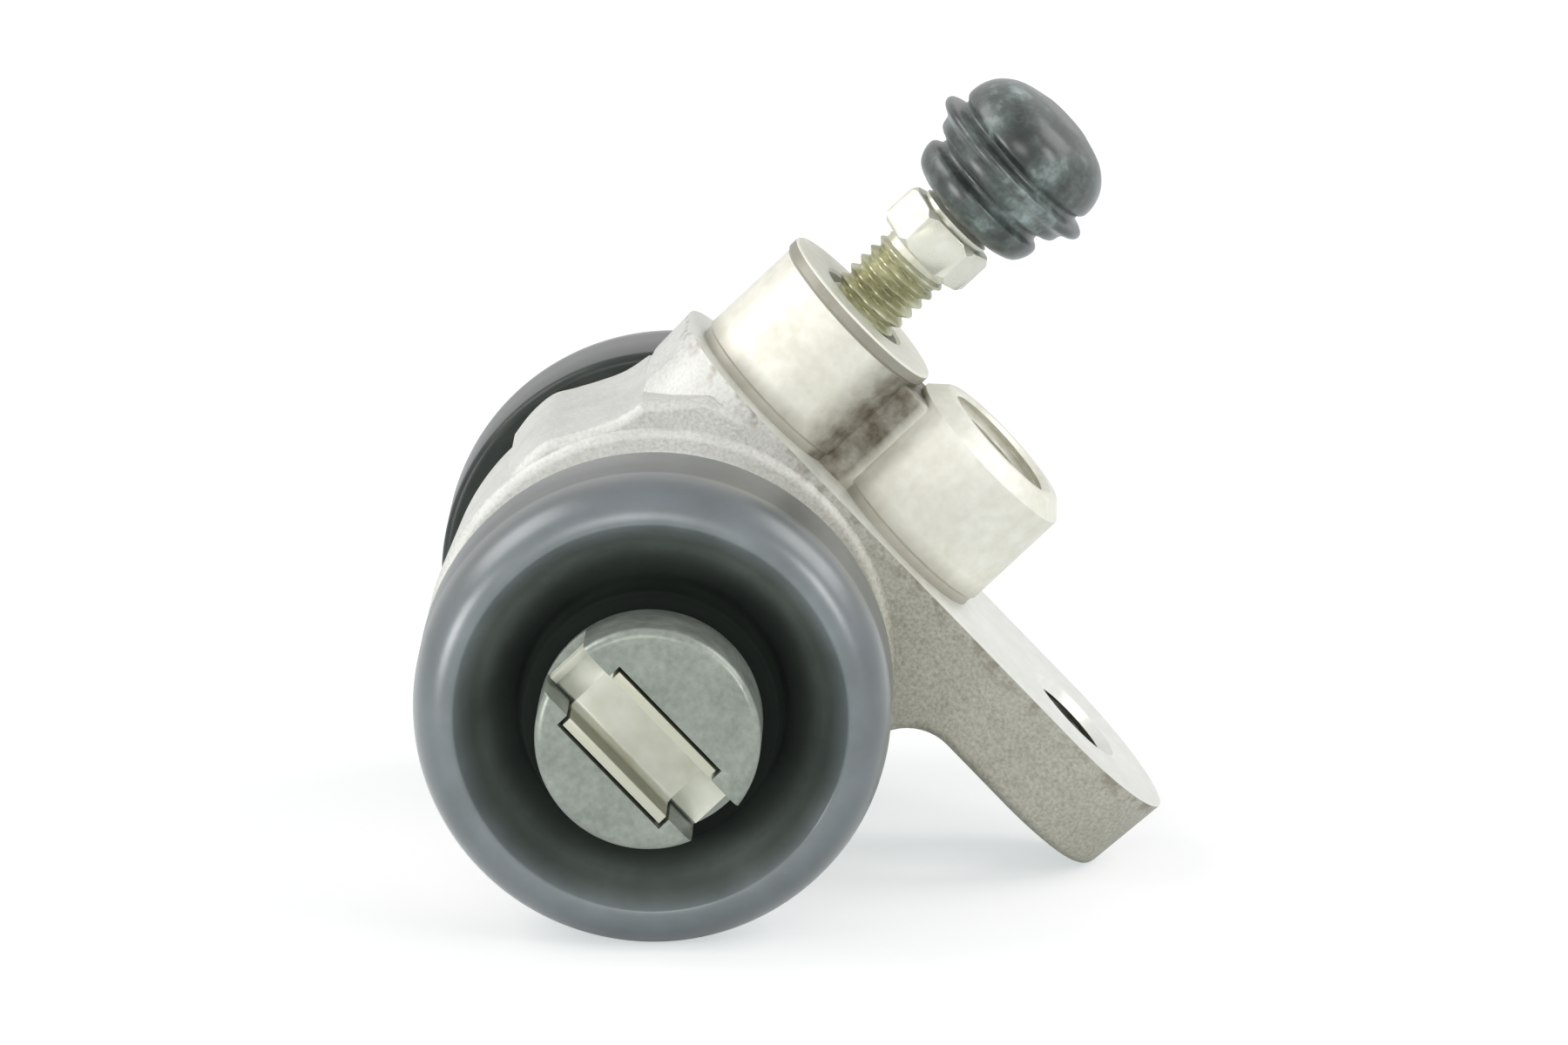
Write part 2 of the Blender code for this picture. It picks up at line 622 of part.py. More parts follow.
def rest_angle(item, rim):
    """Turn about the bore that brings the ear down to the level of the boot rims."""
    graph = bpy.context.evaluated_depsgraph_get()
    shape = item.evaluated_get(graph)
    mesh = shape.to_mesh()
    spots = [(v.co.x / MM, v.co.z / MM) for v in mesh.vertices if v.co.x / MM > EAR_REACH]
    shape.to_mesh_clear()
    low, high = 0.0, math.radians(85)
    for _ in range(48):
        mid = 0.5 * (low + high)
        lowest = min(-x * math.sin(mid) + z * math.cos(mid) for x, z in spots)
        if lowest > -rim:
            low = mid
        else:
            high = mid
    return 0.5 * (low + high)


def set_down(root, nodes):
    """Centre the object over the origin and stand it on the floor."""
    bpy.context.view_layer.update()
    graph = bpy.context.evaluated_depsgraph_get()
    low = Vector((1e9, 1e9, 1e9))
    high = -low
    for item in nodes:
        shape = item.evaluated_get(graph)
        mesh = shape.to_mesh()
        place = item.matrix_world
        for v in mesh.vertices:
            spot = place @ v.co
            low = Vector(map(min, low, spot))
            high = Vector(map(max, high, spot))
        shape.to_mesh_clear()
    root.location = (-(low.x + high.x) / 2, -(low.y + high.y) / 2, -low.z)


def main():
    clear_scene()
    cast = material("cast_aluminium", (0.42, 0.42, 0.38), 0.55, 0.85)
    alloy = material("piston_alloy", (0.5, 0.52, 0.51), 0.38, 0.9)
    steel = material("clip_steel", (0.62, 0.6, 0.48), 0.35, 0.9)
    wire = material("spring_steel", (0.3, 0.3, 0.31), 0.35, 1.0)
    zinc = material("yellow_zinc", (0.55, 0.52, 0.3), 0.35, 0.9)
    black = material("boot_rubber", (0.03, 0.032, 0.035), 0.5, 0.0)
    seal = material("cup_rubber", (0.02, 0.02, 0.02), 0.55, 0.0)
    green = material("cap_rubber", (0.09, 0.1, 0.09), 0.5, 0.0)

    root = empty("rest_place")
    body = build_body(root, cast)
    nodes = [body]
    nodes.append(build_spring("return_spring", root, wire))
    for end, turn in (("front", 0.0), ("rear", math.pi)):
        group = empty(end + "_slide", root, (0, 0, 0), (0, 0, turn))
        nodes.append(build_piston(end + "_piston", group, alloy))
        nodes.append(build_clip(end + "_slot_clip", group, steel))
        nodes.append(build_cup(end + "_cup", group, seal))
        boot = build_boot(end + "_boot", root, black)
        boot.rotation_euler = (0, 0, turn)
        nodes.append(boot)
    axis = empty("bleed_axis", root, (-BLEEDER_OFFSET, 0, BLEEDER_TOP))
    nodes.append(build_screw(axis, zinc))
    foot = empty("cap_axis", axis, (0, 0, CAP_Z - BLEEDER_TOP))
    nodes.append(build_cap(foot, green))

    rim = NECK_R + FIT_GAP + BOOT_WALL
    root.rotation_euler = (0, rest_angle(body, rim), 0)
    set_down(root, nodes)


main()
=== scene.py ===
import json
import math

import bmesh
import bpy
from mathutils import Matrix, Vector

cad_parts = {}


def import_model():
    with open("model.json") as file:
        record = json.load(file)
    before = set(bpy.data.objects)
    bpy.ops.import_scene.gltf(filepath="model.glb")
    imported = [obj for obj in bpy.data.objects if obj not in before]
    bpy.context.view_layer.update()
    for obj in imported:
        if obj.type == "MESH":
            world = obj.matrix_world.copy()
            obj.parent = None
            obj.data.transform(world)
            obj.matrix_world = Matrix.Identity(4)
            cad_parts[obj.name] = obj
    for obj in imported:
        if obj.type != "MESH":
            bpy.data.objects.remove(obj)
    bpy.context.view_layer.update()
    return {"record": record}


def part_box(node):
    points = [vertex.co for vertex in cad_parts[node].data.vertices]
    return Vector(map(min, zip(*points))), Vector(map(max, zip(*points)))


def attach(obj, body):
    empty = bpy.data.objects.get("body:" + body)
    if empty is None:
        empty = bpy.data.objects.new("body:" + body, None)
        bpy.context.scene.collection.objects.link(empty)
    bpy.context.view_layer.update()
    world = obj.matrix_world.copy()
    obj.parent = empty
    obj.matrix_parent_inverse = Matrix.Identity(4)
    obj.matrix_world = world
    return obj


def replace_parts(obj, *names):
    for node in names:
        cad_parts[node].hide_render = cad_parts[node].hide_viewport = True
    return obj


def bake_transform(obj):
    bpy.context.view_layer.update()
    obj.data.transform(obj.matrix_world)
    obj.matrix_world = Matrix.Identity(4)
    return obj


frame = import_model()

MM = 0.001

# Sizes in millimetres, as in the solids
FIT_GAP = 0.3
BORE_R = 9.525
PISTON_R = 9.425
NECK_R = 14.225
DRUM_R = 16.85
DRUM_DRAFT = 0.35
DRUM_HALF = 9.7
BODY_END = 24.0
BEAD_INSET, BEAD_WIDTH, BEAD_DEPTH = 2.8, 3.0, 1.5
PAD_HALF = 9.25
BLEEDER_OFFSET, INLET_OFFSET = 7.4, 7.0
PAD_OVERHANG = 8.3
PAD_ROUNDNESS = 2.5
EAR_REACH = 25.5
EAR_THICKNESS = 7.1
EAR_FILLET = 4.0
SIDE_DRAFT = 0.055
HORN_DEPTH = 2.2
SHOULDER_HALF = 9.2
CAST_ROUND = 0.8
EAR_HOLE_R = 3.4
PAD_LIFT = 0.775
FACE_Z = DRUM_R + PAD_LIFT
UNDER_Z = FACE_Z - EAR_THICKNESS
BLEEDER_RISE = 9.9
INLET_RISE = 10.3
BLEEDER_TOP = FACE_Z + BLEEDER_RISE
INLET_TOP = FACE_Z + INLET_RISE
BLEEDER_R = 7.0
INLET_R = 6.95
BOSS_INSIDE = 0.45 * DRUM_R
BOSS_RELIEF = 0.18
RELIEF_TOP = FACE_Z + 0.7
WEB_HALF = 3.5
WEB_DROP = 1.3
SEAT_DEPTH = 11.5
PORT_DEPTH = 9.0
PORT_R = 4.55
PASSAGE_R = 1.2
FINE_PITCH = 1.0
EAR_PITCH = 1.25
NOSE_R = 8.1
NOSE_FACE = 36.8
LIP_FRONT = 30.0
LIP_BACK = 27.6
LIP_R = 7.0
CUP_FRONT = 17.1
CUP_BACK = 12.8
CUP_R = PISTON_R - 2.7
HEAD_BACK = 11.2
SLOT_DROP = 0.8
CLIP_STEEL = 0.7
CLIP_INSIDE = 4.2
CLIP_LENGTH = 9.9
CLIP_DEPTH = 5.0
CLIP_TONGUE = 7.5
BOOT_R = NECK_R + FIT_GAP + 2.72
SCREW_R = 2.95
HEX_Z = BLEEDER_TOP + 5.7
HEX_TOP = HEX_Z + 3.3
HEX_FLATS = 7.0
NIPPLE_R = 2.0
NIPPLE_LENGTH = 7.6
CAP_Z = HEX_TOP + 1.0
CAP_LENGTH = 10.4
CAP_R = 6.15

# The part's own frame: the bore along Y, square to the mounting face along Z
record = frame["record"]
face_axis = record["mounts"][0]["axis"]
rim_low, rim_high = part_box("front_boot")
BORE_X, BORE_Z = 0.5 * (rim_low.x + rim_high.x), 0.5 * (rim_low.z + rim_high.z)
TILT = math.atan2(face_axis[0], face_axis[2])
PLACE = Matrix.Translation((BORE_X, 0, BORE_Z)) @ Matrix.Rotation(TILT, 4, "Y")


# Helpers for shapes

def turned(profile, steps, axis="Y"):
    """A profile of (place along the axis, radius) turned into a closed solid."""
    bm = bmesh.new()
    rings = []
    for along, radius in profile:
        ring = []
        for k in range(1 if radius <= 0 else steps):
            a = 2 * math.pi * k / steps
            x, z = radius * math.cos(a), radius * math.sin(a)
            ring.append(bm.verts.new(Vector((x, along, z) if axis == "Y" else (x, z, along)) * MM))
        rings.append(ring)
    for a, b in zip(rings, rings[1:] + rings[:1]):
        if len(a) == 1 and len(b) == 1:
            continue
        for k in range(steps):
            n = (k + 1) % steps
            corners = [a[k % len(a)], a[n % len(a)], b[n % len(b)], b[k % len(b)]]
            bm.faces.new(list(dict.fromkeys(corners)))
    return bm


def prism(outline, low, high, axis, top=None):
    """A closed solid between two outlines of as many points, along one axis."""
    bm = bmesh.new()
    layers = []
    for level, ends in ((low, outline), (high, top or outline)):
        if axis == "X":
            spots = [(level, a, b) for a, b in ends]
        elif axis == "Y":
            spots = [(a, level, b) for a, b in ends]
        else:
            spots = [(a, b, level) for a, b in ends]
        layers.append([bm.verts.new(Vector(s) * MM) for s in spots])
    bm.faces.new(layers[0])
    bm.faces.new(layers[1])
    for k in range(len(outline)):
        n = (k + 1) % len(outline)
        bm.faces.new([layers[0][k], layers[0][n], layers[1][n], layers[1][k]])
    return bm


def block(x0, x1, y0, y1, z0, z1):
    return prism([(x0, z0), (x1, z0), (x1, z1), (x0, z1)], y0, y1, "Y")


def arc(centre, radius, start, end, steps):
    out = []
    for k in range(steps + 1):
        a = math.radians(start + (end - start) * k / steps)
        out.append((centre[0] + radius * math.cos(a), centre[1] + radius * math.sin(a)))
    return out


def flow(points, steps=4):
    """An open smooth curve through the points."""
    out = []
    last = len(points) - 1
    for k in range(last):
        p0, p1, p2, p3 = (points[min(max(k + d, 0), last)] for d in (-1, 0, 1, 2))
        for j in range(steps):
            t = j / steps
            out.append(tuple(0.5 * (2 * b + (c - a) * t + (2 * a - 5 * b + 4 * c - d) * t * t
                                    + (3 * b - a - 3 * c + d) * t ** 3)
                             for a, b, c, d in zip(p0, p1, p2, p3)))
    return out + [points[-1]]


def threaded(low, high, crest, root, pitch, around=72, per_turn=10):
    """A closed solid with a helical V thread, along Z."""
    bm = bmesh.new()
    rows = int((high - low) / pitch * per_turn)
    rings = []
    for j in range(rows + 1):
        z = low + (high - low) * j / rows
        ring = []
        for k in range(around):
            turn = k / around
            wave = abs(((z / pitch - turn) % 1.0) * 2 - 1)
            wave = min(max(wave * 1.25 - 0.125, 0), 1)
            r = root + (crest - root) * wave
            a = 2 * math.pi * turn
            ring.append(bm.verts.new(Vector((r * math.cos(a), r * math.sin(a), z)) * MM))
        rings.append(ring)
    for a, b in zip(rings, rings[1:]):
        for k in range(around):
            n = (k + 1) % around
            bm.faces.new([a[k], a[n], b[n], b[k]])
    bm.faces.new(rings[0])
    bm.faces.new(rings[-1])
    return bm


def piece(name, bm, mats, spin=0.0, offset=(0, 0, 0), sharp=30):
    bmesh.ops.remove_doubles(bm, verts=bm.verts, dist=1e-7)
    bmesh.ops.recalc_face_normals(bm, faces=bm.faces)
    mesh = bpy.data.meshes.new(name)
    bm.to_mesh(mesh)
    bm.free()
    obj = bpy.data.objects.new(name, mesh)
    bpy.context.scene.collection.objects.link(obj)
    turn = Matrix.Rotation(spin, 4, "Z")
    obj.matrix_world = PLACE @ turn @ Matrix.Translation(Vector(offset) * MM)
    for mat in mats:
        mesh.materials.append(mat)
    mesh.shade_smooth()
    if sharp:
        mesh.set_sharp_from_angle(angle=math.radians(sharp))
    bpy.context.view_layer.update()
    return obj


def settle(obj):
    """Puts the mesh itself in the shared frame, so that its box is its true size."""
    obj.data.transform(obj.matrix_world)
    obj.matrix_world = Matrix()
    bpy.context.view_layer.update()
    return obj


def carve(obj, other, operation):
    mod = obj.modifiers.new("cut", "BOOLEAN")
    mod.operation = operation
    mod.solver = "EXACT"
    mod.object = other
    bake(obj)
    bpy.data.objects.remove(other, do_unlink=True)


def soften(obj, width, segments=2, angle=35, clamp=True):
    mod = obj.modifiers.new("edge", "BEVEL")
    mod.width = width * MM
    mod.segments = segments
    mod.limit_method = "ANGLE"
    mod.angle_limit = math.radians(angle)
    mod.use_clamp_overlap = clamp
    mod.miter_outer = "MITER_ARC"
    bake(obj)


def bake(obj):
    bpy.context.view_layer.update()
    graph = bpy.context.evaluated_depsgraph_get()
    mesh = bpy.data.meshes.new_from_object(obj.evaluated_get(graph))
    old = obj.data
    obj.modifiers.clear()
    obj.data = mesh
    mesh.name = old.name
    bpy.data.meshes.remove(old)


def resmooth(obj, angle, even=False):
    obj.data.shade_smooth()
    obj.data.set_sharp_from_angle(angle=math.radians(angle))
    if even:
        mod = obj.modifiers.new("even", "WEIGHTED_NORMAL")
        mod.keep_sharp = True
        mod.weight = 80
        bake(obj)


# Materials

class Nodes:
    """Short hand for one material's node tree."""

    def __init__(self, name):
        self.mat = bpy.data.materials.new(name)
        self.mat.use_nodes = True
        self.tree = self.mat.node_tree
        self.shader = self.tree.nodes["Principled BSDF"]
        own = self.add("ShaderNodeMapping", vector_type="TEXTURE")
        own.inputs["Location"].default_value = (BORE_X, 0, BORE_Z)
        own.inputs["Rotation"].default_value = (0, TILT, 0)
        self.link(self.add("ShaderNodeTexCoord").outputs["Object"], own.inputs["Vector"])
        self.coord = own.outputs["Vector"]

    def add(self, kind, **values):
        node = self.tree.nodes.new(kind)
        for key, value in values.items():
            if key in node.inputs:
                node.inputs[key].default_value = value
            else:
                setattr(node, key, value)
        return node

    def link(self, a, b):
        self.tree.links.new(a, b)
        return b.node

    def noise(self, scale, detail=3.0, rough=0.55, stretch=None, distortion=0.0):
        node = self.add("ShaderNodeTexNoise", Scale=scale, Detail=detail, Roughness=rough,
                        Distortion=distortion)
        source = self.coord
        if stretch:
            mapping = self.add("ShaderNodeMapping")
            mapping.inputs["Scale"].default_value = stretch
            self.link(self.coord, mapping.inputs["Vector"])
            source = mapping.outputs["Vector"]
        self.link(source, node.inputs["Vector"])
        return node.outputs["Fac"]

    def ramp(self, source, stops):
        """A colour ramp; each stop is its place and its red, green and blue out of 255."""
        node = self.add("ShaderNodeValToRGB")
        elements = node.color_ramp.elements
        while len(elements) < len(stops):
            elements.new(0.5)
        for element, (spot, *colour) in zip(elements, stops):
            element.position = spot
            element.color = (*srgb(*colour), 1)
        self.link(source, node.inputs["Fac"])
        return node.outputs["Color"]

    def span(self, source, low, high, a=0.3, b=0.7):
        node = self.add("ShaderNodeMapRange")
        node.inputs["From Min"].default_value = a
        node.inputs["From Max"].default_value = b
        node.inputs["To Min"].default_value = low
        node.inputs["To Max"].default_value = high
        self.link(source, node.inputs["Value"])
        return node.outputs["Result"]

    def mix(self, factor, a, b):
        node = self.add("ShaderNodeMix", data_type="RGBA")
        for value, socket in ((factor, node.inputs[0]), (a, node.inputs[6]), (b, node.inputs[7])):
            if hasattr(value, "links"):
                self.link(value, socket)
            elif isinstance(value, (int, float)):
                socket.default_value = value
            else:
                socket.default_value = (*value, 1)
        return node.outputs[2]

    def math(self, operation, a, b=0.0):
        node = self.add("ShaderNodeMath", operation=operation)
        for value, socket in ((a, node.inputs[0]), (b, node.inputs[1])):
            if hasattr(value, "links"):
                self.link(value, socket)
            else:
                socket.default_value = value
        return node.outputs[0]

    def bump(self, source, depth_mm, strength=1.0, under=None):
        node = self.add("ShaderNodeBump", Strength=strength, Distance=depth_mm * MM)
        self.link(source, node.inputs["Height"])
        if under is not None:
            self.link(under, node.inputs["Normal"])
        self.link(node.outputs["Normal"], self.shader.inputs["Normal"])
        return node.outputs["Normal"]

    def part(self, axis):
        """One coordinate of the part's own frame, in metres."""
        node = self.add("ShaderNodeSeparateXYZ")
        self.link(self.coord, node.inputs[0])
        return node.outputs[axis]

    def radius(self):
        """Distance from the bore's axis, in metres."""
        x, z = self.part("X"), self.part("Z")
        squares = self.math("ADD", self.math("MULTIPLY", x, x), self.math("MULTIPLY", z, z))
        return self.math("SQRT", squares)

    def set(self, **values):
        for key, value in values.items():
            self.shader.inputs[key.replace("_", " ")].default_value = value

    def colour(self, source):
        self.link(source, self.shader.inputs["Base Color"])

    def rough(self, source):
        self.link(source, self.shader.inputs["Roughness"])


def srgb(*levels):
    """Screen levels out of 255 as the linear colour that Blender takes."""
    return tuple(((c / 255 + 0.055) / 1.055) ** 2.4 if c > 10 else c / 255 / 12.92 for c in levels)


def cast_metal():
    n = Nodes("cast_aluminium")
    broad = n.noise(260, 3, 0.55)
    grain = n.noise(3600, 2, 0.6)
    tone = n.ramp(broad, [(0.3, 166, 164, 149), (0.7, 186, 184, 171)])
    speck = n.ramp(grain, [(0.3, 140, 136, 120), (0.5, 183, 181, 168), (0.72, 214, 213, 204)])
    # Painted light: towards the horn the casting is mixed into a paler tone, and towards the ear it
    # keeps the darker tone, as the light falls
    pale = n.ramp(broad, [(0.3, 214, 215, 212), (0.7, 232, 233, 232)])
    lit_side_colour = n.mix(0.35, pale, speck)
    metal = n.mix(n.span(n.part("X"), 0.85, 0.0, -9 * MM, 9 * MM), n.mix(0.5, tone, speck), lit_side_colour)
    brown = n.span(n.noise(620, 2, 0.6), 0.0, 1.0, 0.52, 0.64)
    near = n.span(n.part("Z"), 0.0, 0.5, (FACE_Z - 1.4) * MM, (FACE_Z - 0.3) * MM)
    edge = n.math("MULTIPLY", near, brown)
    n.colour(n.mix(edge, metal, srgb(124, 106, 92)))
    n.rough(n.span(grain, 0.45, 0.66))
    n.set(Metallic=0.35)
    low = n.bump(n.noise(900, 3, 0.6), 0.05, 0.6)
    n.bump(grain, 0.035, 0.8, low)
    return n.mat


def machined_metal():
    n = Nodes("machined_aluminium")
    broad = n.noise(160, 3, 0.5)
    fine = n.noise(900, 2, 0.5)
    n.colour(n.mix(0.35, n.ramp(broad, [(0.3, 226, 226, 218), (0.7, 240, 240, 235)]),
                   n.ramp(fine, [(0.3, 218, 217, 207), (0.7, 241, 241, 236)])))
    n.rough(n.span(fine, 0.3, 0.42))
    n.set(Metallic=0.4)
    n.bump(n.noise(1800, 2, 0.5), 0.012, 0.5)
    return n.mat


def boss_metal():
    """Turned bosses, with painted shade at their foot, in the valley between them and on the
    bleeder boss's outer rim.
    """
    n = Nodes("boss_aluminium")
    broad = n.noise(200, 3, 0.55)
    fine = n.noise(1200, 2, 0.5)
    unshaded_boss = n.mix(0.35, n.ramp(broad, [(0.3, 222, 219, 203), (0.7, 240, 239, 228)]),
                  n.ramp(fine, [(0.3, 212, 209, 192), (0.7, 242, 241, 232)]))
    x, z = n.part("X"), n.part("Z")
    # Painted shade: darker at the foot of each boss, in the valley between the bosses with a noisy
    # edge, and on the bleeder boss's rim band
    foot = n.span(z, 0.6, 0.0, (FACE_Z + 0.2) * MM, (FACE_Z + 2.2) * MM)
    valley = n.span(x, 0.0, 1.0, -5.4 * MM, -2.6 * MM)
    for limit in (n.span(x, 1.0, 0.0, 0.2 * MM, 1.2 * MM),
                  n.span(z, 1.0, 0.0, (BLEEDER_TOP - 1.2) * MM, (BLEEDER_TOP - 0.8) * MM),
                  n.span(n.noise(700, 3, 0.6), 0.65, 1.0)):
        valley = n.math("MULTIPLY", valley, limit)
    rim = n.math("MULTIPLY", n.math("GREATER_THAN", z, (BLEEDER_TOP - 1.15) * MM),
                 n.math("LESS_THAN", z, (BLEEDER_TOP - 0.2) * MM))
    rim = n.math("MULTIPLY", rim, n.math("LESS_THAN", x, -0.5 * MM))
    dark = n.math("MAXIMUM", n.math("MAXIMUM", foot, valley), n.math("MULTIPLY", rim, 0.7))
    n.colour(n.mix(dark, unshaded_boss, srgb(92, 84, 66)))
    n.rough(n.span(fine, 0.36, 0.5))
    n.set(Metallic=0.2)
    n.bump(n.noise(1800, 2, 0.5), 0.012, 0.5)
    return n.mat


def thread_metal():
    """Tapped holes, painted dark as the shade inside the hole."""
    n = Nodes("tapped_hole")
    broad = n.noise(500, 3, 0.6)
    n.colour(n.ramp(broad, [(0.3, 78, 80, 70), (0.7, 128, 129, 118)]))
    n.rough(n.span(broad, 0.3, 0.45))
    n.set(Metallic=0.5)
    n.bump(n.noise(1800, 2, 0.5), 0.012, 0.5)
    return n.mat


def piston_metal():
    n = Nodes("piston_alloy")
    broad = n.noise(300, 4, 0.6)
    fine = n.noise(1800, 2, 0.6)
    n.colour(n.mix(0.4, n.ramp(broad, [(0.32, 126, 133, 124), (0.68, 150, 156, 147)]),
                   n.ramp(fine, [(0.3, 116, 123, 114), (0.7, 160, 165, 156)])))
    n.rough(n.span(broad, 0.3, 0.46))
    n.set(Metallic=0.5)
    lathe = n.add("ShaderNodeTexWave", wave_type="RINGS", rings_direction="Y", Scale=900)
    lathe.inputs["Distortion"].default_value = 0.6
    n.link(n.coord, lathe.inputs["Vector"])
    n.bump(lathe.outputs["Fac"], 0.006, 0.35)
    return n.mat


def clip_metal():
    n = Nodes("clip_steel")
    broad = n.noise(260, 3, 0.6)
    metal = n.ramp(broad, [(0.25, 206, 206, 186), (0.5, 222, 223, 206), (0.78, 236, 238, 226)])
    depth = n.math("ABSOLUTE", n.part("Y"))
    # Painted shade: the walls are darker from just above the floor to the mouth, and their front
    # ends are toned down
    metal = n.mix(n.span(depth, 0.0, 0.8, 32.4 * MM, 33.4 * MM), metal, srgb(102, 99, 76))
    n.colour(n.mix(n.span(depth, 0.0, 1.0, 36.3 * MM, 36.6 * MM), metal, srgb(186, 187, 168)))
    n.rough(n.span(n.noise(900, 2), 0.32, 0.46))
    n.set(Metallic=0.4)
    n.bump(n.noise(1200, 2, 0.5, (1, 1, 0.1)), 0.01, 0.4)
    return n.mat


def zinc_metal():
    """Yellow zinc on the thread; the hexagon and the nipple are painted paler, as a painted
    highlight.
    """
    n = Nodes("yellow_zinc")
    broad = n.noise(500, 3, 0.6)
    olive = n.ramp(broad, [(0.25, 134, 132, 98), (0.5, 178, 177, 144), (0.75, 216, 216, 192)])
    pale = n.ramp(broad, [(0.25, 208, 207, 188), (0.75, 228, 228, 218)])
    # Painted highlight: paler from just under the hexagon upwards
    hex_highlight = n.span(n.part("Z"), 0.0, 1.0, (HEX_Z - 1.6) * MM, (HEX_Z + 0.2) * MM)
    n.colour(n.mix(hex_highlight, olive, pale))
    n.rough(n.span(broad, 0.24, 0.38))
    n.set(Metallic=0.6)
    n.bump(n.noise(700, 1, 0.4), 0.004, 0.2)
    return n.mat


def boot_rubber():
    """Satin rubber, with a painted sheen that makes its crest lighter and bluish, and painted shade
    that makes it nearly black down the funnel.
    """
    n = Nodes("boot_rubber")
    broad = n.noise(140, 4, 0.6)
    fine = n.noise(2200, 2, 0.6)
    reach = n.radius()
    span = n.span(reach, 0.0, 1.0, 9.0 * MM, 18.0 * MM)
    # Painted light by distance from the bore: shade darkens the funnel to near black towards the
    # nose, and a sheen lightens the crest; the band on the side keeps the rubber's own dark colour
    rings = n.ramp(span, [(0.0, 24, 29, 25), (0.06, 44, 50, 45), (0.16, 78, 84, 78),
                          (0.32, 106, 114, 107), (0.44, 98, 106, 100), (0.52, 114, 121, 119),
                          (0.58, 122, 129, 132), (0.8, 98, 105, 110), (0.93, 72, 77, 78)])
    band = n.span(n.math("ABSOLUTE", n.part("Y")), 1.0, 0.0, 25.4 * MM, 27.2 * MM)
    rings = n.mix(band, rings, srgb(24, 28, 25))
    # Random mottling, itself painted darker down the funnel as shade
    mottle_and_shade = n.mix(n.span(span, 0.0, 1.0, 0.1, 0.5), srgb(16, 19, 17), srgb(66, 74, 69))
    n.colour(n.mix(n.span(broad, 0.0, 0.6), rings, mottle_and_shade))
    skin = n.span(reach, 0.0, 1.0, 12.2 * MM, 14.4 * MM)
    n.rough(n.math("SUBTRACT", 0.74, n.math("MULTIPLY", skin, n.span(broad, 0.46, 0.36))))
    n.link(n.math("MULTIPLY", skin, n.span(band, 1.0, 0.1, 0, 1)), n.shader.inputs["Coat Weight"])
    n.link(n.math("MULTIPLY", n.span(skin, 0.08, 0.5, 0, 1), n.span(band, 1.0, 0.5, 0, 1)),
           n.shader.inputs["Specular IOR Level"])
    n.link(n.math("MULTIPLY", skin, 0.2), n.shader.inputs["Sheen Weight"])
    n.set(Metallic=0.0, Sheen_Roughness=0.4, Coat_Roughness=0.3)
    n.bump(fine, 0.015, 0.3)
    return n.mat


def cup_rubber():
    n = Nodes("cup_rubber")
    n.colour(n.ramp(n.noise(200, 3), [(0.3, 20, 20, 21), (0.7, 34, 34, 36)]))
    n.rough(n.span(n.noise(600, 2), 0.4, 0.55))
    n.bump(n.noise(1500, 2), 0.01, 0.3)
    return n.mat


def cap_rubber():
    n = Nodes("cap_rubber")
    broad = n.noise(230, 4, 0.7)
    n.colour(n.ramp(broad, [(0.3, 16, 22, 18), (0.44, 38, 46, 41), (0.56, 74, 84, 79),
                            (0.72, 142, 156, 153)]))
    n.rough(n.span(broad, 0.3, 0.5))
    n.set(Sheen_Weight=0.1, Coat_Weight=0.5, Coat_Roughness=0.24)
    n.bump(n.noise(700, 3), 0.05, 0.5)
    return n.mat


def spring_metal():
    n = Nodes("spring_steel")
    n.colour(n.ramp(n.noise(300, 3), [(0.3, 110, 110, 114), (0.7, 150, 150, 154)]))
    n.rough(n.span(n.noise(700, 2), 0.28, 0.4))
    n.set(Metallic=0.9)
    n.bump(n.noise(1500, 2), 0.008, 0.3)
    return n.mat


CAST = cast_metal()
MACHINED = machined_metal()
BOSS = boss_metal()
THREAD = thread_metal()
ALLOY = piston_metal()
CLIP = clip_metal()
ZINC = zinc_metal()
BOOT = boot_rubber()
CUP = cup_rubber()
CAP = cap_rubber()
SPRING = spring_metal()


# The casting

def barrel_profile():
    root = 1.4
    out = BODY_END - BEAD_INSET
    inn = out - BEAD_WIDTH
    low = NECK_R - BEAD_DEPTH
    neck = arc((DRUM_HALF + root, NECK_R + root), root, 180, 270, 6)
    neck += [(inn, NECK_R), (inn, low), (out, low), (out, NECK_R)]
    neck += arc((BODY_END - 0.6, NECK_R - 0.6), 0.6, 90, 0, 4) + [(BODY_END, 0)]
    front, rear = (arc((DRUM_HALF - 0.9, edge - 0.9), 0.9, 90, 0, 6) + neck
                   for edge in (DRUM_R + DRUM_DRAFT, DRUM_R - DRUM_DRAFT))
    return [(-y, r) for y, r in reversed(front)] + rear


def lug_outline():
    """Section of pad, ear and horn, square to the bore."""
    fz = UNDER_Z - EAR_FILLET
    fx = math.sqrt((DRUM_R - DRUM_DRAFT + EAR_FILLET) ** 2 - fz ** 2)
    touch = math.degrees(math.atan2(-fz, -fx)) % 360
    tall = FACE_Z + 2
    left = -(BLEEDER_OFFSET + PAD_OVERHANG)
    low = FACE_Z - HORN_DEPTH
    inner = 0.45 * DRUM_R
    points = [(left - 1, tall), (left - 1, low)]
    points += flow([(left, low), (left + 0.35, low - 1.5), (left + 1.0, low - 3.0),
                    (left + 1.5, low - 4.2), (left + 1.6, low - 6.0)])
    points += [(-inner, 0.2 * inner), (inner, 0.2 * inner)]
    points += arc((fx, fz), EAR_FILLET, touch, 90, 14)
    far = EAR_REACH + PAD_HALF + 1
    return points + [(far, UNDER_Z), (far, tall)]


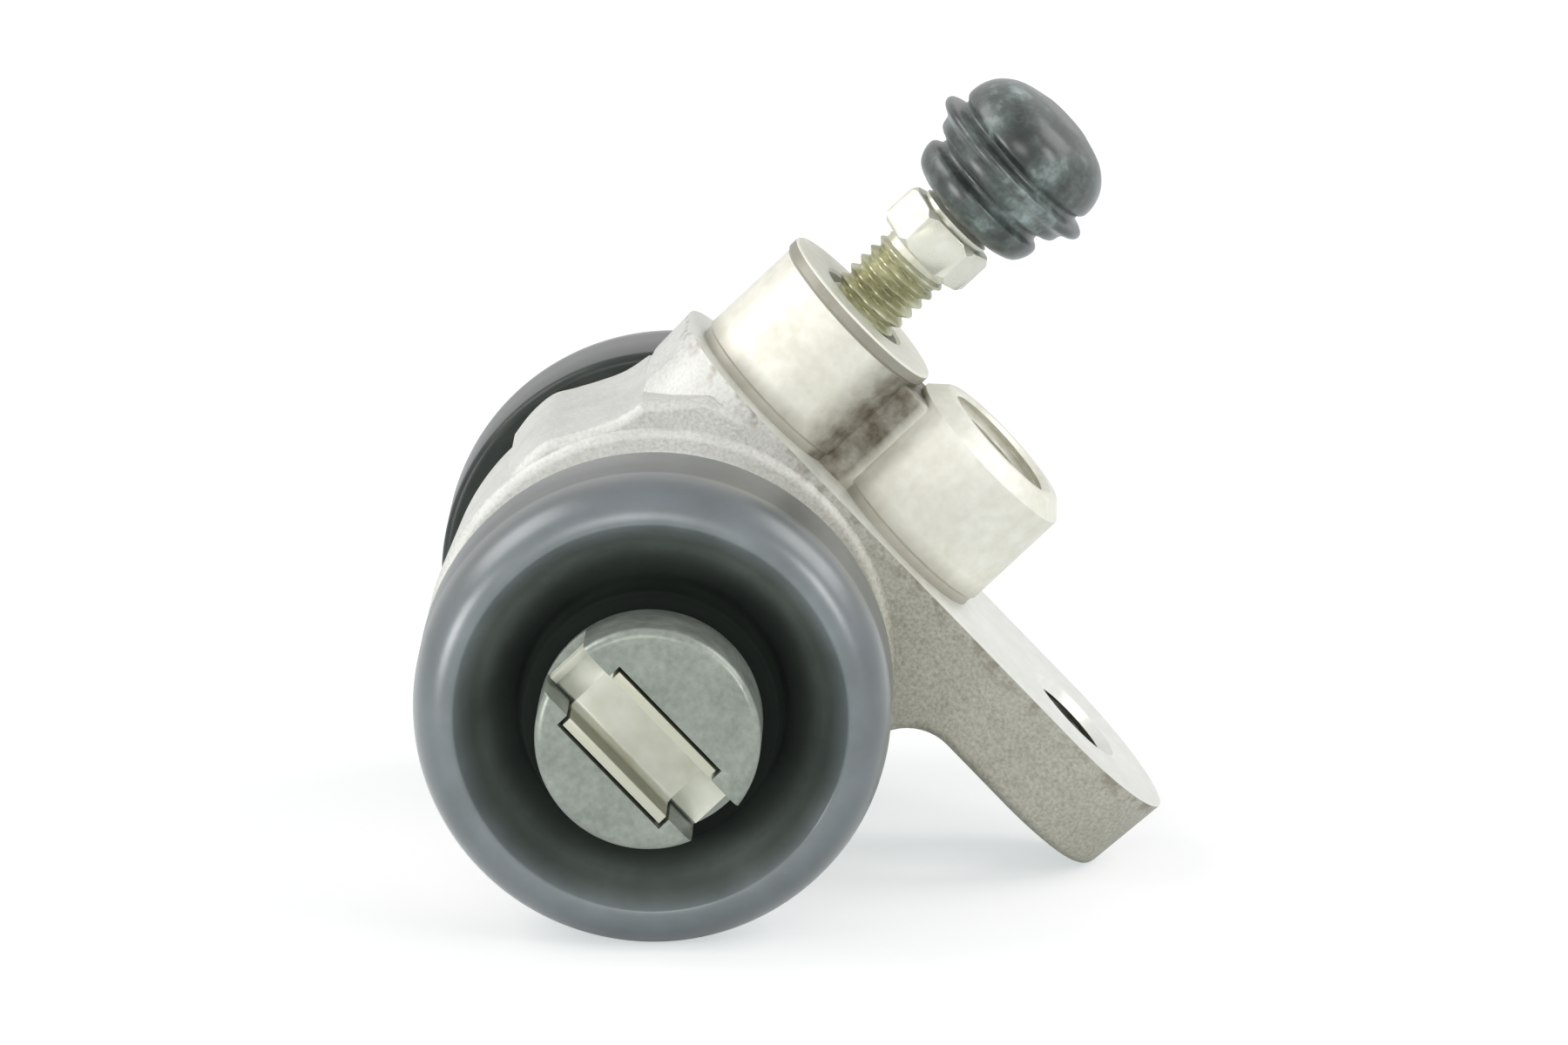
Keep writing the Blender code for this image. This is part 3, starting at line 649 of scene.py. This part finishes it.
def shoulder_outline():
    """Section of the shoulder that carries the horn down into the drum."""
    bulge = flow([(-1.01, 0.02), (-1.035, 0.16), (-1.03, 0.29), (-0.985, 0.38), (-0.93, 0.49),
                  (-0.885, 0.6), (-0.865, 0.72)])
    rest = [(-0.68, 0.95), (-0.45, 1.02), (-0.4, 0.2), (-0.8, 0)]
    return [(x * DRUM_R, z * DRUM_R) for x, z in bulge + rest]


def plan_outline(half):
    """Plan of the pad: straight sides, a round ear and a squarer end at the horn."""
    centre = PAD_HALF - BLEEDER_OFFSET - PAD_OVERHANG
    outline = arc((EAR_REACH - 0.06, 0), half, -90, 90, 40)
    power = 2 / PAD_ROUNDNESS
    for k in range(41):
        a = math.pi * (k / 40 - 0.5)
        x, y = math.cos(a), math.sin(a)
        outline.append((centre - half * abs(x) ** power, -half * math.copysign(abs(y) ** power, y)))
    return outline


def boss(rim, offset, profile):
    """A boss of radius rim, with the relief that the cutter leaves at its foot."""
    relief = [(BOSS_INSIDE, 0), (BOSS_INSIDE, rim - BOSS_RELIEF), (RELIEF_TOP, rim - BOSS_RELIEF),
              (RELIEF_TOP + BOSS_RELIEF, rim)]
    return piece("boss", turned(relief + profile, 120, "Z"), [BOSS], offset=(offset, 0, 0))


def drilled(body, profile, steps, offset):
    hole = piece("hole", turned(profile, steps, "Z"), [MACHINED], offset=(offset, 0, 0))
    carve(body, hole, "DIFFERENCE")


def tapped(body, low, high, radius, depth, pitch, steps, offset):
    cutter = threaded(low, high, radius + depth, radius - 0.05, pitch, steps)
    carve(body, piece("thread", cutter, [MACHINED], offset=(offset, 0, 0)), "DIFFERENCE")


def casting():
    body = piece("casting", turned(barrel_profile(), 168), [CAST, MACHINED, BOSS, THREAD])
    lug = piece("lug", prism(lug_outline(), -PAD_HALF - 2, PAD_HALF + 2, "Y"), [CAST])
    floor, roof = -2.0, FACE_Z + 1.5
    narrow = plan_outline(PAD_HALF - SIDE_DRAFT * (FACE_Z - floor))
    broad = plan_outline(PAD_HALF + SIDE_DRAFT * (roof - FACE_Z))
    carve(lug, piece("plan", prism(narrow, floor, roof, "Z", broad), [CAST]), "INTERSECT")
    soften(lug, CAST_ROUND, 4, 40, clamp=False)
    wide = EAR_REACH + PAD_HALF + 5
    carve(lug, piece("trim", block(-wide, wide, -30, 30, FACE_Z, FACE_Z + 9), [CAST]), "DIFFERENCE")
    carve(body, lug, "UNION")
    form = prism(shoulder_outline(), -SHOULDER_HALF, SHOULDER_HALF, "Y")
    shoulder = piece("shoulder", form, [CAST])
    soften(shoulder, CAST_ROUND, 4, 40, clamp=False)
    carve(body, shoulder, "UNION")

    shank = BLEEDER_R - 0.2
    rim = [(BLEEDER_TOP - 1.1, shank), (BLEEDER_TOP - 0.9, BLEEDER_R)]
    rim += arc((BLEEDER_TOP - 0.25, BLEEDER_R - 0.25), 0.25, 90, 0, 3) + [(BLEEDER_TOP, 0)]
    carve(body, boss(shank, -BLEEDER_OFFSET, rim), "UNION")
    rim = [(INLET_TOP - 1.2, INLET_R), (INLET_TOP - 0.1, INLET_R - 1.1), (INLET_TOP, INLET_R - 1.3),
           (INLET_TOP, 0)]
    carve(body, boss(INLET_R, INLET_OFFSET, rim), "UNION")
    form = block(-0.5 * BLEEDER_OFFSET, 0.5 * INLET_OFFSET, -WEB_HALF, WEB_HALF, BOSS_INSIDE + 1,
                 BLEEDER_TOP - WEB_DROP)
    web = piece("web", form, [BOSS])
    soften(web, 0.4, 3, 40)
    carve(body, web, "UNION")

    beyond, mouth = BODY_END + 2, BODY_END - 0.8
    bore = [(-beyond, 0), (-beyond, BORE_R + 2.8), (-mouth, BORE_R), (mouth, BORE_R),
            (beyond, BORE_R + 2.8), (beyond, 0)]
    carve(body, piece("bore", turned(bore, 144), [MACHINED]), "DIFFERENCE")
    low = 0.5 * BORE_R
    seat = BLEEDER_TOP - SEAT_DEPTH
    hole = SCREW_R + FIT_GAP
    drilled(body, [(low, 0), (low, PASSAGE_R), (seat, PASSAGE_R), (seat + hole - PASSAGE_R, hole),
                   (BLEEDER_TOP - 0.6, hole), (BLEEDER_TOP + 1, hole + 1.6), (BLEEDER_TOP + 1, 0)],
            64, -BLEEDER_OFFSET)
    floor = INLET_TOP - PORT_DEPTH
    drilled(body, [(low, 0), (low, PASSAGE_R), (floor - 1.2, PASSAGE_R), (floor, PORT_R - 0.1),
                   (INLET_TOP - 0.4, PORT_R - 0.1), (INLET_TOP + 1, PORT_R + 1.6),
                   (INLET_TOP + 1, 0)], 96, INLET_OFFSET)
    tapped(body, floor + 0.8, INLET_TOP + 0.6, PORT_R, 0.5, FINE_PITCH, 96, INLET_OFFSET)
    flare = EAR_HOLE_R + 1.7
    drilled(body, [(UNDER_Z - 1, 0), (UNDER_Z - 1, flare), (UNDER_Z + 0.7, EAR_HOLE_R),
                   (FACE_Z - 0.7, EAR_HOLE_R), (FACE_Z + 1, flare), (FACE_Z + 1, 0)], 72, EAR_REACH)
    tapped(body, UNDER_Z + 0.72, FACE_Z - 0.72, EAR_HOLE_R, 0.46, EAR_PITCH, 72, EAR_REACH)
    resmooth(body, 28, even=True)
    paint_casting(body)
    return settle(body)


def paint_casting(body):
    """Gives each face its finish: 0 cast, 1 machined, 2 boss, 3 thread."""
    for face in body.data.polygons:
        c, n = face.center / MM, face.normal
        from_hole = math.hypot(c.x - EAR_REACH, c.y) - EAR_HOLE_R
        level = n.z > 0.9 and abs(c.z - FACE_Z) < 0.2
        bore = math.hypot(c.x, c.z) < BORE_R + 0.9
        ends = abs(n.y) > 0.95 and abs(abs(c.y) - BODY_END) < 0.2
        flare = from_hole < 1.0 and abs(n.z) < 0.95
        if from_hole < 0.5 and UNDER_Z + 0.7 < c.z < FACE_Z - 0.7:
            face.material_index = 3
        elif c.z > FACE_Z + 0.05:
            face.material_index = 2
        elif level or bore or ends or flare:
            face.material_index = 1
        else:
            face.material_index = 0


# Pistons, clips, cups, boots and spring

def piston(end, spin):
    profile = [(-NOSE_FACE, 0)] + arc((-NOSE_FACE + 0.7, NOSE_R - 0.7), 0.7, 180, 90, 5)
    profile += [(-LIP_FRONT, NOSE_R), (-LIP_FRONT, LIP_R), (-LIP_BACK, LIP_R), (-LIP_BACK, NOSE_R),
                (-BODY_END, NOSE_R), (-BODY_END + 0.5, PISTON_R), (-CUP_FRONT, PISTON_R),
                (-CUP_FRONT, CUP_R), (-CUP_BACK, CUP_R), (-CUP_BACK, PISTON_R - 0.4),
                (-HEAD_BACK, PISTON_R - 0.4), (-HEAD_BACK, 4.3), (-HEAD_BACK + 2.6, 3.9),
                (-HEAD_BACK + 2.6, 0)]
    obj = piece(end + "_piston_nose", turned(profile, 144), [ALLOY], spin)
    inner = CLIP_INSIDE / 2
    outer = inner + CLIP_STEEL + FIT_GAP
    floor = -NOSE_FACE + CLIP_DEPTH + CLIP_STEEL + FIT_GAP
    half = CLIP_LENGTH / 2 + FIT_GAP
    front = -NOSE_FACE - 1
    cut = block(-NOSE_R - 2, NOSE_R + 2, front, floor, -SLOT_DROP - inner, -SLOT_DROP + inner)
    carve(obj, piece("cut", cut, [ALLOY], spin), "DIFFERENCE")
    cut = block(-half, half, front, floor, -SLOT_DROP - outer, -SLOT_DROP + outer)
    carve(obj, piece("cut", cut, [ALLOY], spin), "DIFFERENCE")
    soften(obj, 0.14, 2, 40)
    resmooth(obj, 30)
    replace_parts(settle(obj), end + "_piston")
    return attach(obj, end + "_slider")


def clip(end, spin):
    inner = CLIP_INSIDE / 2
    outer = inner + CLIP_STEEL
    half = CLIP_LENGTH / 2
    face = -NOSE_FACE + 0.05
    floor = -NOSE_FACE + CLIP_DEPTH
    back = floor + CLIP_STEEL
    bend = 0.5
    section = [(-outer, face), (-inner, face)]
    section += arc((-inner + bend, floor - bend), bend, 180, 90, 4)
    section += arc((inner - bend, floor - bend), bend, 90, 0, 4)
    section += [(inner, face), (outer, face)]
    section += arc((outer - bend, back - bend), bend, 0, 90, 4)
    section += arc((-outer + bend, back - bend), bend, 90, 180, 4)
    form = prism([(y, z - SLOT_DROP) for z, y in section], -half, half, "X")
    obj = piece(end + "_slot_liner", form, [CLIP], spin)
    width = inner - FIT_GAP
    lip = floor - 0.9
    tongue = [(-CLIP_TONGUE, lip), (-CLIP_TONGUE + 0.6, lip), (-CLIP_TONGUE + 0.6, floor + 0.02),
              (CLIP_TONGUE, floor + 0.02), (CLIP_TONGUE, back - 0.02), (-CLIP_TONGUE, back - 0.02)]
    form = prism(tongue, -SLOT_DROP - width, -SLOT_DROP + width, "Z")
    carve(obj, piece("tongue", form, [CLIP], spin), "UNION")
    soften(obj, 0.1, 2, 40)
    resmooth(obj, 30)
    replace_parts(settle(obj), end + "_slot_clip")
    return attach(obj, end + "_slider")


def cup(end, spin):
    outer, inner = PISTON_R, CUP_R + FIT_GAP
    back, front = -CUP_BACK - FIT_GAP, -CUP_FRONT + FIT_GAP
    middle = 0.5 * (outer + inner)
    profile = [(front, inner), (front, outer - 0.5), (front + 0.5, outer - 0.25),
               (back - 0.4, outer), (back, outer - 0.25), (back, outer - 0.7),
               (back - 1.5, middle + 0.1), (back - 1.5, middle - 0.4), (back - 0.2, inner + 0.35),
               (back - 0.2, inner)]
    obj = piece(end + "_cup_seal", turned(profile, 96), [CUP], spin)
    soften(obj, 0.08, 2, 30)
    resmooth(obj, 35)
    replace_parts(settle(obj), end + "_cup")
    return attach(obj, end + "_slider")


def boot(end, spin):
    skin = NECK_R + FIT_GAP
    out = BODY_END - BEAD_INSET - FIT_GAP
    inn = BODY_END - BEAD_INSET - BEAD_WIDTH + FIT_GAP
    bead = NECK_R - BEAD_DEPTH + FIT_GAP
    back, band, crest = BODY_END - 6.0, BODY_END + 2.0, BODY_END + 5.9
    crest_r = BOOT_R - 3.05
    sleeve = NOSE_R + FIT_GAP
    web = 1.2
    fold = BODY_END + 1.9
    run, drop = crest - fold, crest_r - sleeve - web
    side = arc((back + 0.7, BOOT_R - 0.7), 0.7, 180, 90, 4) + [(band - 3, BOOT_R), (band, BOOT_R)]
    for k in range(1, 12):
        a = math.radians(90 - 7.5 * k)
        side.append((band + (crest - band) * math.cos(a), crest_r + 3.05 * math.sin(a)))
    side += [(crest, crest_r + 0.12), (crest - 0.1, crest_r - 0.05)]
    funnel = [(crest - 0.22 * run, crest_r - 0.13 * drop),
              (crest - 0.62 * run, crest_r - 0.36 * drop),
              (crest - 0.9 * run, crest_r - 0.6 * drop), (fold, crest_r - 0.82 * drop),
              (crest - 0.92 * run, crest_r - 0.97 * drop), (LIP_FRONT - 1.6, sleeve + 0.9),
              (LIP_FRONT - 0.8, sleeve + 0.8), (LIP_FRONT - FIT_GAP, sleeve + 0.32)]
    fine = flow(funnel)
    inside = [(LIP_FRONT - FIT_GAP, LIP_R + FIT_GAP), (LIP_BACK + FIT_GAP, LIP_R + FIT_GAP),
              (LIP_BACK + FIT_GAP, sleeve), (fold - 0.4, sleeve), (fold - web, sleeve + 0.55),
              (fold - web, crest_r - 0.62 * drop),
              (crest - 0.62 * run - web, crest_r - 0.3 * drop + 0.6 * web),
              (crest - 0.3 * run - web, crest_r),
              (crest - 0.3 * run - 1.2 * web, crest_r + 0.5 * web), (BODY_END + 1.2, skin + 0.5),
              (BODY_END + 0.3, skin), (out, skin), (out, bead), (inn, bead), (inn, skin),
              (back, skin)]
    profile = [(-s, r) for s, r in side + fine + inside]
    obj = piece(end + "_dust_boot", turned(profile, 192), [BOOT], spin, sharp=42)
    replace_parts(settle(obj), end + "_boot")
    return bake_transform(obj)


def spring():
    """The coil is made in two halves, split at its middle."""
    wire, mean, turns, per = 0.75, 6.3, 6.5, 40
    reach = HEAD_BACK - FIT_GAP - wire
    steps = int(turns * per)
    closed, flat = 1 / turns, 1.15 * 2 * wire
    spots = []
    for k in range(steps + 1):
        t = k / steps
        a = 2 * math.pi * turns * t
        if t < closed:
            y = -reach + flat * t / closed
        elif t > 1 - closed:
            y = reach - flat * (1 - t) / closed
        else:
            y = -reach + flat + (2 * reach - 2 * flat) * (t - closed) / (1 - 2 * closed)
        spots.append(Vector((mean * math.cos(a), y, mean * math.sin(a))))
    for end, first, last in (("front", 0, steps // 2), ("rear", steps // 2, steps)):
        bm = bmesh.new()
        rings = []
        for k in range(first, last + 1):
            spot = spots[k]
            ahead = (spots[min(k + 1, steps)] - spots[max(k - 1, 0)]).normalized()
            side = ahead.cross(Vector((spot.x, 0, spot.z)).normalized()).normalized()
            out = side.cross(ahead).normalized()
            ring = []
            for j in range(16):
                a = 2 * math.pi * j / 16
                edge = (out * math.cos(a) + side * math.sin(a)) * wire
                ring.append(bm.verts.new((spot + edge) * MM))
            rings.append(ring)
        for a, b in zip(rings, rings[1:]):
            for j in range(16):
                n = (j + 1) % 16
                bm.faces.new([a[j], a[n], b[n], b[j]])
        bm.faces.new(rings[0])
        bm.faces.new(rings[-1])
        obj = piece(end + "_return_coil", bm, [SPRING], sharp=50)
        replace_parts(settle(obj), "return_spring")
        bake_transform(obj)


# Bleed screw and cap

def bleed_screw():
    top = BLEEDER_TOP
    low = HEX_Z - top
    high = HEX_TOP - top
    end = high + NIPPLE_LENGTH
    seat = -SEAT_DEPTH
    tip = PASSAGE_R - FIT_GAP
    cone = seat + 0.2 + SCREW_R - tip
    place = dict(offset=(-BLEEDER_OFFSET, 0, top))
    thread = threaded(cone - 0.4, low - 0.5, SCREW_R, SCREW_R - 0.5, FINE_PITCH, 64)
    obj = piece("bleed_screw_steel", thread, [ZINC], **place)
    profile = [(seat + 0.2, 0), (seat + 0.2, tip), (cone - 0.3, SCREW_R - 0.3),
               (cone, SCREW_R - 0.4), (cone, 0)]
    carve(obj, piece("tip", turned(profile, 64, "Z"), [ZINC], **place), "UNION")
    shaft = high + 0.3
    profile = [(low - 1.2, 0), (low - 1.2, SCREW_R - 0.35), (low + 0.6, SCREW_R - 0.35),
               (low + 0.6, 2.4), (high - 0.2, 2.4), (high - 0.2, 2.7), (high + 0.1, 2.7),
               (high + 0.15, SCREW_R + 0.05)]
    profile += [(shaft + 0.1, SCREW_R + 0.05), (shaft + 0.4, SCREW_R - 0.4),
                (shaft + 0.4, NIPPLE_R - 0.1), (end - 1.9, NIPPLE_R - 0.1),
                (end - 1.7, NIPPLE_R + 0.25), (end - 0.3, NIPPLE_R - 0.2), (end, NIPPLE_R - 0.4),
                (end, 0)]
    carve(obj, piece("stem", turned(profile, 64, "Z"), [ZINC], **place), "UNION")
    corners = arc((0, 0), HEX_FLATS / math.sqrt(3), 0, 300, 5)
    six = piece("six", prism(corners, low, high, "Z"), [ZINC], **place)
    soften(six, 0.12, 2, 40)
    profile = [(low - 0.5, 0), (low - 0.5, HEX_FLATS * 0.46), (low + 0.7, HEX_FLATS * 0.6),
               (high - 0.7, HEX_FLATS * 0.6), (high + 0.5, HEX_FLATS * 0.46), (high + 0.5, 0)]
    carve(six, piece("cone", turned(profile, 96, "Z"), [ZINC], **place), "INTERSECT")
    carve(obj, six, "UNION")
    profile = [(cone + 0.35, 0), (cone + 0.35, 0.85), (end + 1, 0.85), (end + 1, 0)]
    carve(obj, piece("drill", turned(profile, 32, "Z"), [ZINC], **place), "DIFFERENCE")
    resmooth(obj, 32)
    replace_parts(settle(obj), "bleed_screw")
    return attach(obj, "bleeder")


def bleed_cap():
    big, length = CAP_R, CAP_LENGTH
    inside = NIPPLE_R + 0.25 + FIT_GAP
    room = NIPPLE_LENGTH - 1.0 + FIT_GAP + 0.4
    rim = 1 + 0.75 / big
    outside = [(0, 0.66), (0.04, 0.8), (0.12, 0.88), (0.2, 0.89), (0.24, 0.8), (0.29, 0.8),
               (0.33, 0.94), (0.41, 0.99), (0.46, rim), (0.51, rim), (0.54, 0.98), (0.58, 0.94),
               (0.63, 1), (0.74, 0.98), (0.85, 0.88), (0.94, 0.68), (1, 0.35)]
    fine = flow([(f * length, r * big) for f, r in outside])
    profile = [(0, inside)] + fine + [(length, 0), (room, 0), (room, inside - 0.5),
                                      (room - 0.5, inside)]
    place = (-BLEEDER_OFFSET, 0, CAP_Z)
    obj = piece("bleed_cap_rubber", turned(profile, 120, "Z"), [CAP], offset=place, sharp=45)
    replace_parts(settle(obj), "bleed_cap")
    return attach(obj, "cap")


body = casting()
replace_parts(body, "cylinder_body")
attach(body, "cylinder")
for end, spin in (("front", 0.0), ("rear", math.pi)):
    piston(end, spin)
    clip(end, spin)
    cup(end, spin)
    boot(end, spin)
spring()
bleed_screw()
bleed_cap()


# Floor, light and camera

def any_ray(tree, *kinds):
    """1 for the kinds of ray named, 0 for the rest."""
    path = tree.nodes.new("ShaderNodeLightPath")
    value = path.outputs[kinds[0]]
    for kind in kinds[1:]:
        node = tree.nodes.new("ShaderNodeMath")
        node.operation = "MAXIMUM"
        tree.links.new(value, node.inputs[0])
        tree.links.new(path.outputs[kind], node.inputs[1])
        value = node.outputs[0]
    return value


def floor():
    """A pale floor. The camera sees part of it as plain white, so that its shadow stays light."""
    mesh = bpy.data.meshes.new("floor")
    half, level = 6.0, -0.00002
    corners = [(-half, -half, level), (half, -half, level), (half, half, level),
               (-half, half, level)]
    mesh.from_pydata(corners, [], [(0, 1, 2, 3)])
    obj = bpy.data.objects.new("floor", mesh)
    bpy.context.scene.collection.objects.link(obj)
    n = Nodes("floor_white")
    n.set(Base_Color=(0.9, 0.92, 0.93, 1), Roughness=0.85)
    n.shader.inputs["Specular IOR Level"].default_value = 0.1
    seen = n.add("ShaderNodeBsdfDiffuse")
    seen.inputs["Color"].default_value = (0.52, 0.48, 0.47, 1)
    glow = n.add("ShaderNodeEmission", Strength=0.6)
    glow.inputs["Color"].default_value = (0.93, 0.99, 1.0, 1)
    both = n.add("ShaderNodeAddShader")
    n.link(seen.outputs[0], both.inputs[0])
    n.link(glow.outputs[0], both.inputs[1])
    mix = n.add("ShaderNodeMixShader")
    n.link(any_ray(n.tree, "Is Camera Ray"), mix.inputs[0])
    n.link(n.shader.outputs[0], mix.inputs[1])
    n.link(both.outputs[0], mix.inputs[2])
    n.link(mix.outputs[0], n.tree.nodes["Material Output"].inputs["Surface"])
    mesh.materials.append(n.mat)


def world():
    sky = bpy.data.worlds.new("studio")
    bpy.context.scene.world = sky
    sky.use_nodes = True
    tree = sky.node_tree
    plain = tree.nodes["Background"]
    plain.inputs["Color"].default_value = (0.95, 0.98, 1.0, 1)
    plain.inputs["Strength"].default_value = 0.5
    white = tree.nodes.new("ShaderNodeBackground")
    white.inputs["Strength"].default_value = 1.0
    mix = tree.nodes.new("ShaderNodeMixShader")
    straight = any_ray(tree, "Is Camera Ray", "Is Glossy Ray", "Is Transmission Ray")
    tree.links.new(straight, mix.inputs[0])
    tree.links.new(plain.outputs[0], mix.inputs[1])
    tree.links.new(white.outputs[0], mix.inputs[2])
    tree.links.new(mix.outputs[0], tree.nodes["World Output"].inputs["Surface"])


def lamp(name, spot, target, size, power, colour=(1, 1, 1)):
    data = bpy.data.lights.new(name, "AREA")
    data.shape = "RECTANGLE"
    data.size, data.size_y = size
    data.energy = power
    data.color = colour
    obj = bpy.data.objects.new(name, data)
    bpy.context.scene.collection.objects.link(obj)
    obj.location = spot
    obj.rotation_euler = (Vector(target) - Vector(spot)).to_track_quat("-Z", "Y").to_euler()


floor()
world()
middle = (0, 0, 0.025)
lamp("left_above", (-0.55, 0.0, 0.55), middle, (0.5, 0.4), 2.35)
lamp("right_above", (0.6, 0.1, 0.5), middle, (0.5, 0.4), 2.0)
lamp("left_front", (-0.72, -0.52, 0.1), middle, (0.3, 0.36), 3.1)
lamp("right_front", (0.62, -0.5, 0.34), middle, (0.2, 0.3), 1.6)
lamp("front", (-0.12, -1.0, 0.42), middle, (0.4, 0.3), 1.6)

# The camera looks at a point fixed to the bore, from a little above the boot's face
azimuth, elevation, distance = math.radians(1.332), math.radians(12.02), 1.06794
aim = Vector((BORE_X + 0.008896, 0, BORE_Z + 0.008108))
flat = math.cos(elevation)
away = Vector((math.sin(azimuth) * flat, -math.cos(azimuth) * flat, math.sin(elevation)))
lens = bpy.data.cameras.new("camera")
lens.lens = 332.96
lens.sensor_width = 36
lens.clip_start = 0.05
lens.clip_end = 60
camera = bpy.data.objects.new("camera", lens)
bpy.context.scene.collection.objects.link(camera)
camera.location = aim + away * distance
camera.rotation_euler = (-away).to_track_quat("-Z", "Y").to_euler()
bpy.context.scene.camera = camera
bpy.context.scene.view_settings.view_transform = "Standard"
